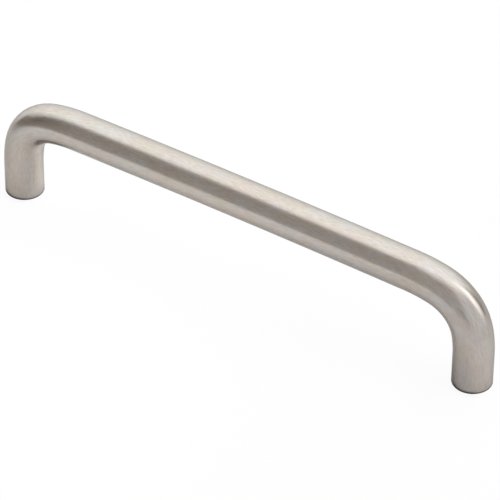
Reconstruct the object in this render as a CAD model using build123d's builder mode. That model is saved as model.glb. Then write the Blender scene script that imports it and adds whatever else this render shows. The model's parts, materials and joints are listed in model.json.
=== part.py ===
from build123d import *
from math import cos, radians, sin, tan
import os

# Bent bar cabinet handle. Millimetres, +Z away from the drawer or door front.
# The origin is on the mounting plane, midway between the two feet, and X runs along the grip.

# Bar and fixing
bar_diameter = 12.0
fixing_centres = 160.0
projection = 37.0
foot_edge_radius = 0.5

# Centreline from the middle of the grip down to a foot: a faintly crowned grip, then a bend that
# eases in from the grip, turns tightly, and eases out into a straight leg
crown_turn = 1.7
grip_ease_radius = 45.0
grip_ease_turn = 12.0
bend_radius = 15.0
leg_ease_radius = 35.0
leg_ease_turn = 12.0

# Drilled and tapped hole up the middle of each foot
thread_diameter = 4.0
thread_depth = 10.0
tap_drill_diameter = 3.3
tap_drill_depth = 13.0
drill_point_angle = 118.0
countersink_diameter = 4.6
countersink_angle = 90.0

# Heading of the centreline below the horizontal, where each arc hands over to the next
grip_end_heading = crown_turn / 2
bend_start_heading = grip_end_heading + grip_ease_turn
bend_end_heading = 90.0 - leg_ease_turn
bend_turn = bend_end_heading - bend_start_heading

# The crowned grip spans what the two bends leave of the fixing centres
bend_reach = (
    grip_ease_radius * (sin(radians(bend_start_heading)) - sin(radians(grip_end_heading)))
    + bend_radius * (sin(radians(bend_end_heading)) - sin(radians(bend_start_heading)))
    + leg_ease_radius * (1.0 - sin(radians(bend_end_heading)))
)
crown_radius = (fixing_centres / 2 - bend_reach) / sin(radians(grip_end_heading))

# The straight leg takes up what the arcs leave of the height of the centreline
arc_drop = (
    crown_radius * (1.0 - cos(radians(grip_end_heading)))
    + grip_ease_radius * (cos(radians(grip_end_heading)) - cos(radians(bend_start_heading)))
    + bend_radius * (cos(radians(bend_start_heading)) - cos(radians(bend_end_heading)))
    + leg_ease_radius * cos(radians(bend_end_heading))
)
leg_length = projection - bar_diameter / 2 - arc_drop

# Depths along the hole, from the mounting plane
bar_radius = bar_diameter / 2
thread_radius = thread_diameter / 2
tap_drill_radius = tap_drill_diameter / 2
countersink_depth = (countersink_diameter / 2 - thread_radius) / tan(radians(countersink_angle / 2))
drill_point_depth = tap_drill_depth + tap_drill_radius / tan(radians(drill_point_angle / 2))

# Arcs of the centreline in order, from one foot over the grip to the other
turns = [
    (leg_ease_radius, leg_ease_turn),
    (bend_radius, bend_turn),
    (grip_ease_radius, grip_ease_turn),
    (crown_radius, crown_turn),
    (grip_ease_radius, grip_ease_turn),
    (bend_radius, bend_turn),
    (leg_ease_radius, leg_ease_turn),
]

# One round bar, cold bent over a former into a flat-footed bow
with BuildPart() as pull_bar:
    with BuildLine(Plane.XZ) as centreline:
        run = Line((-fixing_centres / 2, 0), (-fixing_centres / 2, leg_length))
        for radius, turn in turns:
            run = JernArc(run @ 1, run % 1, radius, -turn)
        Line(run @ 1, (fixing_centres / 2, 0))
    with BuildSketch(Plane.XY) as section:
        with Locations((-fixing_centres / 2, 0)):
            Circle(bar_radius)
    sweep(path=centreline.line)

    # The sawn ends are faced flat and their rims eased
    foot_rims = pull_bar.edges().filter_by(GeomType.CIRCLE).group_by(Axis.Z)[0]
    fillet(foot_rims, foot_edge_radius)

    # Countersink, tapped length, tap drill and drill point, as half a section turned about the leg
    for foot_x in (-fixing_centres / 2, fixing_centres / 2):
        with BuildSketch(Plane.XZ) as drilling:
            with BuildLine():
                Polyline(
                    (foot_x, 0),
                    (foot_x + countersink_diameter / 2, 0),
                    (foot_x + thread_radius, countersink_depth),
                    (foot_x + thread_radius, thread_depth),
                    (foot_x + tap_drill_radius, thread_depth),
                    (foot_x + tap_drill_radius, tap_drill_depth),
                    (foot_x, drill_point_depth),
                    close=True,
                )
            make_face()
        revolve(axis=Axis((foot_x, 0, 0), (0, 0, 1)), mode=Mode.SUBTRACT)

pull_bar.part.label = "pull_bar"

os.makedirs("parts", exist_ok=True)
export_step(pull_bar.part, "parts/pull_bar.step")
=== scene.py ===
import json
from math import cos, pi, radians, sin

import bmesh
import bpy
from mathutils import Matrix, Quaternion, Vector


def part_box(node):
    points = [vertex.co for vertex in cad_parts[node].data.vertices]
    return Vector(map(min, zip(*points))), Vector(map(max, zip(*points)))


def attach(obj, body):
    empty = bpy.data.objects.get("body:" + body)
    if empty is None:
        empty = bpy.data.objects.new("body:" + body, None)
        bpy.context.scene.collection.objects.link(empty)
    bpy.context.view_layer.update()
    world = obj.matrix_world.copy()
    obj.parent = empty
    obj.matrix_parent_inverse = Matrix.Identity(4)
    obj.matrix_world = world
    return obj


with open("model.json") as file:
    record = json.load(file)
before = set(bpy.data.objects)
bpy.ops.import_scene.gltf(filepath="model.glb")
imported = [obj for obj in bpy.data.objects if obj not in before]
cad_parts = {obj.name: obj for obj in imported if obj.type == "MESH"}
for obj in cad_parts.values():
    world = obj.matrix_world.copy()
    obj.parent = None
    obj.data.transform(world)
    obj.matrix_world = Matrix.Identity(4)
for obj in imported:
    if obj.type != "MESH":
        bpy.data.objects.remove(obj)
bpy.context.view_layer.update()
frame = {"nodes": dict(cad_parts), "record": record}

# The bar: one solid round bar of stainless steel, linished along its length to a satin and cold bent
# at both ends round a former. Its solid stays as it is. The finish follows the bent bar, so its
# shader first straightens the bar out, into a distance along it and an offset from its middle line.
MM = 0.001
CROWN_TURN = 0.85
GRIP_EASE_RADIUS = 45.0
GRIP_EASE_TURN = 12.0
BEND_RADIUS = 15.0
LEG_EASE_RADIUS = 35.0
LEG_EASE_TURN = 12.0
WARM_STEEL = (0.487, 0.430, 0.368)
COOL_STEEL = (0.449, 0.434, 0.424)
ROSE_STEEL = (0.474, 0.422, 0.398)
GREEN_STEEL = (0.462, 0.442, 0.394)
HUE_TURN = (0.35, 0.65)
STEEL_ROUGHNESS = 0.24
STEEL_EDGE_TINT = (0.62, 0.62, 0.62, 1.0)
SCRATCH_LENGTH = 9.0
SCRATCH_WIDTH = 0.16
SCRATCH_DEPTH = 0.0009
SCRATCH_DULLING = 0.10
BRUSH_LENGTH = 30.0
BRUSH_WIDTH = 1.4
BRUSH_DEPTH = 0.0025
STREAK_LENGTH = 2.0
STREAK_WIDTH = 0.38
STREAK_DEPTH = 0.0020
STREAK_CONTRAST = 0.48
CLOUD_LENGTH = 8.0
CLOUD_WIDTH = 4.0
CLOUD_CONTRAST = 0.17
CLOUD_DULLING = 0.06
HUE_LENGTH = 6.0
HUE_WIDTH = 3.0
NOISE_MIDDLE = 0.5


class Shade:
    """A socket of a shader. Arithmetic on it adds Math nodes, and node() adds any other node."""

    def __init__(self, tree, socket=None):
        self.tree = tree
        self.socket = socket

    def node(self, kind, settings, inputs, output=0):
        made = self.tree.nodes.new(kind)
        for name, value in settings.items():
            setattr(made, name, value)
        for name, value in inputs.items():
            if isinstance(value, Shade):
                self.tree.links.new(value.socket, made.inputs[name])
            else:
                made.inputs[name].default_value = value
        return Shade(self.tree, made.outputs[output] if made.outputs else None)

    def math(self, operation, first, second=0.0):
        return self.node("ShaderNodeMath", {"operation": operation}, {0: first, 1: second})

    def __add__(self, other):
        return self.math("ADD", self, other)

    __radd__ = __add__

    def __sub__(self, other):
        return self.math("SUBTRACT", self, other)

    def __rsub__(self, other):
        return self.math("SUBTRACT", other, self)

    def __mul__(self, other):
        return self.math("MULTIPLY", self, other)

    __rmul__ = __mul__

    def __truediv__(self, other):
        return self.math("DIVIDE", self, other)

    def __gt__(self, other):
        return self.math("GREATER_THAN", self, other)

    def __lt__(self, other):
        return self.math("LESS_THAN", self, other)

    def choose(self, low, high):
        """low where this is 0, and high where it is 1."""
        return low + self * (high - low)

    def smooth(self, start, end):
        """0 up to start, 1 from end on, and a smooth step between them."""
        ends = {"Value": self, "From Min": start, "From Max": end}
        return self.node("ShaderNodeMapRange", {"interpolation_type": "SMOOTHSTEP"}, ends)

    def tint(self, low, high):
        """One colour where this is 0, and another where it is 1."""
        return self.node("ShaderNodeMix", {"data_type": "RGBA"}, {0: self, 6: low, 7: high}, 2)


def distance(first, second):
    """How far a point is from the origin of two coordinates."""
    return first.math("SQRT", first * first + second * second)


def stretched_noise(along, across, out, length, width, detail):
    """Noise drawn out to one length along the bar and another width across it."""
    at = along.node("ShaderNodeCombineXYZ", {}, {0: along / length, 1: across / width, 2: out / width})
    return along.node("ShaderNodeTexNoise", {}, {"Vector": at, "Scale": 1.0, "Detail": detail})


mounts = {mount["name"]: mount for mount in frame["record"]["mounts"]}
half_centres = mounts["fixing_centres"]["dims"]["spacing_x_mm"] / 2
high_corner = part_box("pull_bar")[1]
bar_radius = high_corner.x / MM - half_centres
crown_height = high_corner.z / MM - bar_radius

# Arcs of the middle line from the top of the crown to a leg: radius, and heading at start and end
bend_start = CROWN_TURN + GRIP_EASE_TURN
bend_end = 90.0 - LEG_EASE_TURN
bends = [
    (GRIP_EASE_RADIUS, radians(CROWN_TURN), radians(bend_start)),
    (BEND_RADIUS, radians(bend_start), radians(bend_end)),
    (LEG_EASE_RADIUS, radians(bend_end), radians(90.0)),
]
bend_reach = sum(radius * (sin(end) - sin(start)) for radius, start, end in bends)
crown_radius = (half_centres - bend_reach) / sin(radians(CROWN_TURN))
arcs = [(crown_radius, 0.0, radians(CROWN_TURN)), *bends]

satin_steel = bpy.data.materials.new("satin_stainless_bar")
satin_steel.use_nodes = True
satin_steel.node_tree.nodes.clear()
steel = Shade(satin_steel.node_tree)

point = steel.node("ShaderNodeTexCoord", {}, {}, "Object")
point = steel.node("ShaderNodeVectorMath", {"operation": "SCALE"}, {0: point, "Scale": 1.0 / MM})
x, y, z = (steel.node("ShaderNodeSeparateXYZ", {}, {0: point}, axis) for axis in "XYZ")
reach = x.math("ABSOLUTE", x)

arc_x, arc_z, length = 0.0, crown_height, 0.0
along, out = reach, z - crown_height
for radius, start, end in arcs:
    centre_x = arc_x - radius * sin(start)
    centre_z = arc_z - radius * cos(start)
    heading = x.math("ARCTAN2", reach - centre_x, z - centre_z)
    on_arc = heading > start
    along = on_arc.choose(along, length + (heading - start) * radius)
    out = on_arc.choose(out, distance(reach - centre_x, z - centre_z) - radius)
    arc_x = centre_x + radius * sin(end)
    arc_z = centre_z + radius * cos(end)
    length = length + radius * (end - start)
on_leg = z < arc_z
along = on_leg.choose(along, length + arc_z - z)
out = on_leg.choose(out, reach - half_centres)
along = along * x.math("SIGN", x)

scratches = stretched_noise(along, y, out, SCRATCH_LENGTH, SCRATCH_WIDTH, detail=2.0)
brushing = stretched_noise(along, y, out, BRUSH_LENGTH, BRUSH_WIDTH, detail=3.0)
streaks = stretched_noise(along, y, out, STREAK_LENGTH, STREAK_WIDTH, detail=3.0)
clouds = stretched_noise(along, y, out, CLOUD_LENGTH, CLOUD_WIDTH, detail=3.0)
hues = stretched_noise(along, out, y, HUE_LENGTH, HUE_WIDTH, detail=2.0)

# Round the rim of each foot, the edge was broken with a file, which left it duller. The rim's colour is
# painted darker too: a painted shade standing in for the dark contact shade that the rim mirrors.
RIM_HEIGHT = 0.8
RIM_BLEND = 0.1
RIM_PAINTED_SHADE = 0.40
RIM_ROUGHNESS = 0.42
rim = z.smooth(RIM_HEIGHT + RIM_BLEND, RIM_HEIGHT - RIM_BLEND)

# Where a foot was faced and drilled, the steel is cut bright, and the tool left rings in it
FOOT_FACE_DEPTH = 0.02
BORE_RADIUS = 2.35
BORE_DEPTH = 14.5
CUT_STEEL = (0.56, 0.54, 0.52)
CUT_ROUGHNESS = 0.32
RING_PITCH = 0.22
RING_DEPTH = 0.0015
from_axis = distance(reach - half_centres, y)
in_bore = (from_axis < BORE_RADIUS) * (z < BORE_DEPTH)
cut = x.math("MAXIMUM", in_bore, z < FOOT_FACE_DEPTH)
facing_rings = x.math("SINE", from_axis * (2.0 * pi / RING_PITCH))
drill_rings = x.math("SINE", z * (2.0 * pi / RING_PITCH))
rings = in_bore.choose(facing_rings, drill_rings)

brushed_height = scratches * SCRATCH_DEPTH + streaks * STREAK_DEPTH + brushing * BRUSH_DEPTH
height = cut.choose(brushed_height, rings * RING_DEPTH)
streaking = (streaks - NOISE_MIDDLE) * STREAK_CONTRAST
clouding = (clouds - NOISE_MIDDLE) * CLOUD_CONTRAST
# The rim's factor here is painted shade: it darkens the steel's colour round the rim of each foot
mottle_and_rim_shade = (1.0 + streaking + clouding) * rim.choose(1.0, RIM_PAINTED_SHADE)
warm_to_cool = clouds.smooth(*HUE_TURN).tint((*WARM_STEEL, 1.0), (*COOL_STEEL, 1.0))
rose_to_green = hues.smooth(*HUE_TURN).tint((*ROSE_STEEL, 1.0), (*GREEN_STEEL, 1.0))
half_of_each = {0: 0.5, 6: warm_to_cool, 7: rose_to_green}
brushed_color = steel.node("ShaderNodeMix", {"data_type": "RGBA"}, half_of_each, 2)
mottle_and_shade_inputs = {0: brushed_color, "Scale": mottle_and_rim_shade}
brushed_color = steel.node("ShaderNodeVectorMath", {"operation": "SCALE"}, mottle_and_shade_inputs)
brushed_roughness = STEEL_ROUGHNESS + (scratches - NOISE_MIDDLE) * SCRATCH_DULLING
brushed_roughness = brushed_roughness + (clouds - NOISE_MIDDLE) * CLOUD_DULLING
brushed_roughness = rim.choose(brushed_roughness, RIM_ROUGHNESS)
steel_sockets = {
    "Base Color": cut.tint(brushed_color, (*CUT_STEEL, 1.0)),
    "Metallic": 1.0,
    "Roughness": cut.choose(brushed_roughness, CUT_ROUGHNESS),
    "Specular Tint": STEEL_EDGE_TINT,
    "Normal": steel.node("ShaderNodeBump", {}, {"Distance": MM, "Height": height}),
}
steel_surface = steel.node("ShaderNodeBsdfPrincipled", {}, steel_sockets)
steel.node("ShaderNodeOutputMaterial", {}, {"Surface": steel_surface})

pull_bar = frame["nodes"]["pull_bar"]
pull_bar.data.materials[0] = satin_steel

# The screw threads: a tap cut them up the middle of each foot, so that a machine screw from behind
# can draw the foot down. Each is a ridge of the bar's own steel, left winding up the wall of the hole.
THREAD_PITCH = 0.7
THREAD_ROOT_RADIUS = 2.04
THREAD_CREST_RADIUS = 1.65
THREAD_ROOT_WIDTH = 0.61
THREAD_CREST_WIDTH = 0.175
THREAD_START = 0.75
THREAD_TURNS = 12
THREAD_STEPS = 36
THREAD_RUN_OUT = 0.3


def wound_ridge(name, axis_x):
    """Spins the section of a thread's ridge up a helix and lets both its ends run out into the wall."""
    mesh = bmesh.new()
    section = [
        (THREAD_ROOT_RADIUS, -THREAD_ROOT_WIDTH / 2),
        (THREAD_CREST_RADIUS, -THREAD_CREST_WIDTH / 2),
        (THREAD_CREST_RADIUS, THREAD_CREST_WIDTH / 2),
        (THREAD_ROOT_RADIUS, THREAD_ROOT_WIDTH / 2),
    ]
    corners = [mesh.verts.new((axis_x + r * MM, 0.0, (THREAD_START + h) * MM)) for r, h in section]
    sides = [mesh.edges.new((corners[i - 1], corners[i])) for i in range(len(corners))]
    bmesh.ops.spin(
        mesh,
        geom=corners + sides,
        cent=(axis_x, 0.0, 0.0),
        axis=(0.0, 0.0, 1.0),
        dvec=(0.0, 0.0, THREAD_PITCH * MM / THREAD_STEPS),
        angle=2.0 * pi * THREAD_TURNS,
        steps=THREAD_STEPS * THREAD_TURNS,
    )
    bmesh.ops.holes_fill(mesh, edges=mesh.edges, sides=len(corners))
    for vert in mesh.verts:
        arm = Vector((vert.co.x - axis_x, vert.co.y, 0.0))
        turns = (vert.co.z / MM - THREAD_START) / THREAD_PITCH
        sunk = 1.0 - min(1.0, max(0.0, min(turns, THREAD_TURNS - turns)) / THREAD_RUN_OUT)
        vert.co += arm.normalized() * sunk * (THREAD_ROOT_RADIUS * MM - arm.length)
    bmesh.ops.recalc_face_normals(mesh, faces=mesh.faces)
    data = bpy.data.meshes.new(name)
    mesh.to_mesh(data)
    mesh.free()
    data.materials.append(satin_steel)
    ridge = bpy.data.objects.new(name, data)
    bpy.context.scene.collection.objects.link(ridge)
    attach(ridge, "root")


wound_ridge("left_screw_thread", -half_centres * MM)
wound_ridge("right_screw_thread", half_centres * MM)

# The studio floor: a round table of matt white board. Its colour is painted paler to the left, as if its
# light fell off to the right, with soft painted pools of light and of shade, all of which the steel
# mirrors.
# Seen from the camera it glows almost pure white. From below it can't be seen, and the feet mirror the
# pale room through it where they stand.
FLOOR_RADIUS = 0.36
FLOOR_SHIFT = 0.11
FLOOR_DROP = 0.00005
FLOOR_SIDES = 96
FLOOR_LEFT = (0.715, 0.71, 0.705)
FLOOR_RIGHT = (0.560, 0.550, 0.553)
FLOOR_FADE = (-0.04, 0.09)
FLOOR_POOLS = [
    ((0.095, 0.010), 0.085, 1.16),
    ((-0.030, -0.020), 0.060, 1.06),
    ((-0.071, 0.007), 0.018, 1.40),
    ((-0.096, 0.003), 0.018, 1.25),
    ((0.076, -0.013), 0.020, 0.79),
    ((-0.120, -0.028), 0.050, 0.86),
    ((-0.205, -0.035), 0.090, 0.58),
]
FOOT_SHADE_WIDTH = 1.7
FOOT_SHADE_CORE = 0.4
FOOT_SHADE_START = -4.4
FOOT_SHADE_FULL = -5.7
FLOOR_GLOW = (1.0, 1.0, 1.0, 1.0)
FLOOR_BLEACH = 0.94
CONTACT_DISTANCE = 0.00015

floor_mesh = bmesh.new()
bmesh.ops.create_circle(floor_mesh, cap_ends=True, segments=FLOOR_SIDES, radius=FLOOR_RADIUS)
bmesh.ops.translate(floor_mesh, verts=floor_mesh.verts, vec=(FLOOR_SHIFT, 0.0, -FLOOR_DROP))
floor_data = bpy.data.meshes.new("studio_floor")
floor_mesh.to_mesh(floor_data)
floor_mesh.free()
studio_floor = bpy.data.objects.new("studio_floor", floor_data)
bpy.context.scene.collection.objects.link(studio_floor)

floor_material = bpy.data.materials.new("studio_floor")
floor_material.use_nodes = True
floor_material.node_tree.nodes.clear()
floor = Shade(floor_material.node_tree)
place = floor.node("ShaderNodeTexCoord", {}, {}, "Object")
floor_x, floor_y = (floor.node("ShaderNodeSeparateXYZ", {}, {0: place}, axis) for axis in "XY")
color = floor_x.smooth(*FLOOR_FADE).tint((*FLOOR_LEFT, 1.0), (*FLOOR_RIGHT, 1.0))

# Close in front of each foot a thin curved strip of shade is painted on the table, which the foot's rim
# mirrors
from_foot = distance(floor_x.math("ABSOLUTE", floor_x) - half_centres * MM, floor_y)
beside_foot = from_foot.smooth((bar_radius + FOOT_SHADE_WIDTH) * MM, (bar_radius + FOOT_SHADE_CORE) * MM)
in_front = floor_y.smooth(FOOT_SHADE_START * MM, FOOT_SHADE_FULL * MM)
tone = 1.0 - beside_foot * in_front

# Each painted pool of light or shade lies at a place on the table, has a radius, and is so many times as
# bright in its middle
for (pool_x, pool_y), pool_radius, pool_gain in FLOOR_POOLS:
    from_pool = distance(floor_x - pool_x, floor_y - pool_y)
    tone = tone * from_pool.smooth(0.0, pool_radius).choose(pool_gain, 1.0)
color = floor.node("ShaderNodeVectorMath", {"operation": "SCALE"}, {0: color, "Scale": tone})

camera_ray = floor.node("ShaderNodeLightPath", {}, {}, "Is Camera Ray")
white_top = floor.node("ShaderNodeBsdfDiffuse", {}, {"Color": color})
glow = floor.node("ShaderNodeEmission", {}, {"Color": FLOOR_GLOW})
table_top = floor.node("ShaderNodeMixShader", {}, {0: camera_ray * FLOOR_BLEACH, 1: white_top, 2: glow})
under_foot = from_foot < bar_radius * MM
too_close = floor.node("ShaderNodeLightPath", {}, {}, "Ray Length") < CONTACT_DISTANCE
from_below = floor.node("ShaderNodeNewGeometry", {}, {}, "Backfacing")
seen_through = floor.math("MAXIMUM", from_below, under_foot * too_close)
clear = floor.node("ShaderNodeBsdfTransparent", {}, {})
floor_surface = floor.node("ShaderNodeMixShader", {}, {0: seen_through, 1: table_top, 2: clear})
floor.node("ShaderNodeOutputMaterial", {}, {"Surface": floor_surface})
floor_data.materials.append(floor_material)

# The room: a white studio whose softboxes, ceiling and dark flags stand so far off that they look the
# same from every part of the handle. Each is a patch of the room's own light, from one azimuth to
# another (0 behind the handle, 90 to its right) and from one elevation to another, with soft edges.
FRONT_WALL = (0.61, 0.585, 0.565)
PALE_ROOM = (0.99, 0.99, 0.99)
TABLE_EDGE_ELEVATION = -25.0
BELOW_ALL = -200.0
ABOVE_ALL = 120.0
FULL_HEIGHT = (BELOW_ALL, ABOVE_ALL)
ALL_ROUND = (-400.0, 400.0)

# Azimuths and elevations in degrees, how wide the soft side and end edges are, and the colour
PANELS = {
    "right wall": ((54, 136), FULL_HEIGHT, (8, 20), (0.96, 0.95, 0.96)),
    "rear left wall": ((-94, -8), FULL_HEIGHT, (60, 20), (1.40, 1.43, 1.45)),
    "high rear wall": ((-114, 65), (18, ABOVE_ALL), (6, 60), (1.62, 1.655, 1.645)),
    "ceiling": (ALL_ROUND, (67, ABOVE_ALL), (20, 24), (1.40, 1.38, 1.40)),
    "ceiling softbox": ((-127, 112), (58, ABOVE_ALL), (6, 42), (1.78, 1.765, 1.775)),
    "strip softbox": ((35, 68), (15, 62), (4, 50), (2.62, 2.62, 2.66)),
    "gap beside the strip": ((27.5, 43.5), (BELOW_ALL, 40), (5, 48), (0.32, 0.335, 0.345)),
    "front left flag": ((-140, -103), (BELOW_ALL, 45.5), (50, 60), (0.135, 0.105, 0.085)),
    "foot of the flag": ((-137, -88), (BELOW_ALL, 13), (5, 11), (0.34, 0.30, 0.265)),
}

room = bpy.data.worlds.new("studio_room")
room.use_nodes = True
room.node_tree.nodes.clear()
bpy.context.scene.world = room
air = Shade(room.node_tree)
direction = air.node("ShaderNodeTexCoord", {}, {}, "Generated")
east, north, up = (air.node("ShaderNodeSeparateXYZ", {}, {0: direction}, axis) for axis in "XYZ")
azimuth = air.math("ARCTAN2", east, north) * (180.0 / pi)
elevation = air.math("ARCSINE", up) * (180.0 / pi)


def between(angle, limits, edge):
    """1 between two angles and 0 outside them, with soft edges that are half way at each limit."""
    start, end = limits
    return angle.smooth(start - edge / 2, start + edge / 2) * angle.smooth(end + edge / 2, end - edge / 2)


light = (*FRONT_WALL, 1.0)
for azimuths, elevations, (side_edge, end_edge), panel_color in PANELS.values():
    panel = between(azimuth, azimuths, side_edge) * between(elevation, elevations, end_edge)
    light = panel.tint(light, (*panel_color, 1.0))

# Below the table, and wherever the camera sees the room itself, it is plainly pale
below_table = elevation < TABLE_EDGE_ELEVATION
pale = air.math("MAXIMUM", below_table, air.node("ShaderNodeLightPath", {}, {}, "Is Camera Ray"))
room_light = air.node("ShaderNodeBackground", {}, {"Color": pale.tint(light, (*PALE_ROOM, 1.0))})
air.node("ShaderNodeOutputWorld", {}, {"Surface": room_light})

# The key lamp: one softbox, high to the right and a little behind, turned so that only the table
# shows it. It throws the handle's soft shadow to the left, which the steel then reflects.
KEY_AZIMUTH = radians(100.0)
KEY_ELEVATION = radians(32.0)
KEY_DISTANCE = 2.0
KEY_SIZE = 1.2
KEY_BRIGHTNESS = 6.0

key_stand = Vector((
    sin(KEY_AZIMUTH) * cos(KEY_ELEVATION),
    -cos(KEY_AZIMUTH) * cos(KEY_ELEVATION),
    sin(KEY_ELEVATION),
))
key_light = bpy.data.lights.new("key_lamp", "AREA")
key_light.shape = "SQUARE"
key_light.size = KEY_SIZE
key_light.energy = pi * KEY_SIZE * KEY_SIZE * KEY_BRIGHTNESS
key_lamp = bpy.data.objects.new("key_lamp", key_light)
key_lamp.location = key_stand * KEY_DISTANCE
key_lamp.rotation_euler = (-key_stand).to_track_quat("-Z", "Y").to_euler()
key_lamp.visible_camera = False
key_lamp.visible_glossy = False
bpy.context.scene.collection.objects.link(key_lamp)

# The camera: a long lens, high and to the right, with the handle running away to the left.
# Its angles, distance and aim were fitted to the handle's outline.
CAMERA_AZIMUTH = radians(34.22)
CAMERA_ELEVATION = radians(37.931)
CAMERA_ROLL = radians(0.346)
CAMERA_DISTANCE = 1.0509
CAMERA_AIM = Vector((-0.001106, 0.006243, 0.007422))
LENS_LENGTH = 256.275
SENSOR_WIDTH = 36.0
NEAREST_SIGHT = 0.01

back = Vector((
    sin(CAMERA_AZIMUTH) * cos(CAMERA_ELEVATION),
    -cos(CAMERA_AZIMUTH) * cos(CAMERA_ELEVATION),
    sin(CAMERA_ELEVATION),
))
lens = bpy.data.cameras.new("photo_camera")
lens.lens = LENS_LENGTH
lens.sensor_width = SENSOR_WIDTH
lens.clip_start = NEAREST_SIGHT
camera = bpy.data.objects.new("photo_camera", lens)
camera.location = CAMERA_AIM + back * CAMERA_DISTANCE
level = (-back).to_track_quat("-Z", "Y")
camera.rotation_euler = (level @ Quaternion((0.0, 0.0, 1.0), CAMERA_ROLL)).to_euler()
bpy.context.scene.collection.objects.link(camera)
bpy.context.scene.camera = camera
bpy.context.scene.view_settings.view_transform = "Standard"
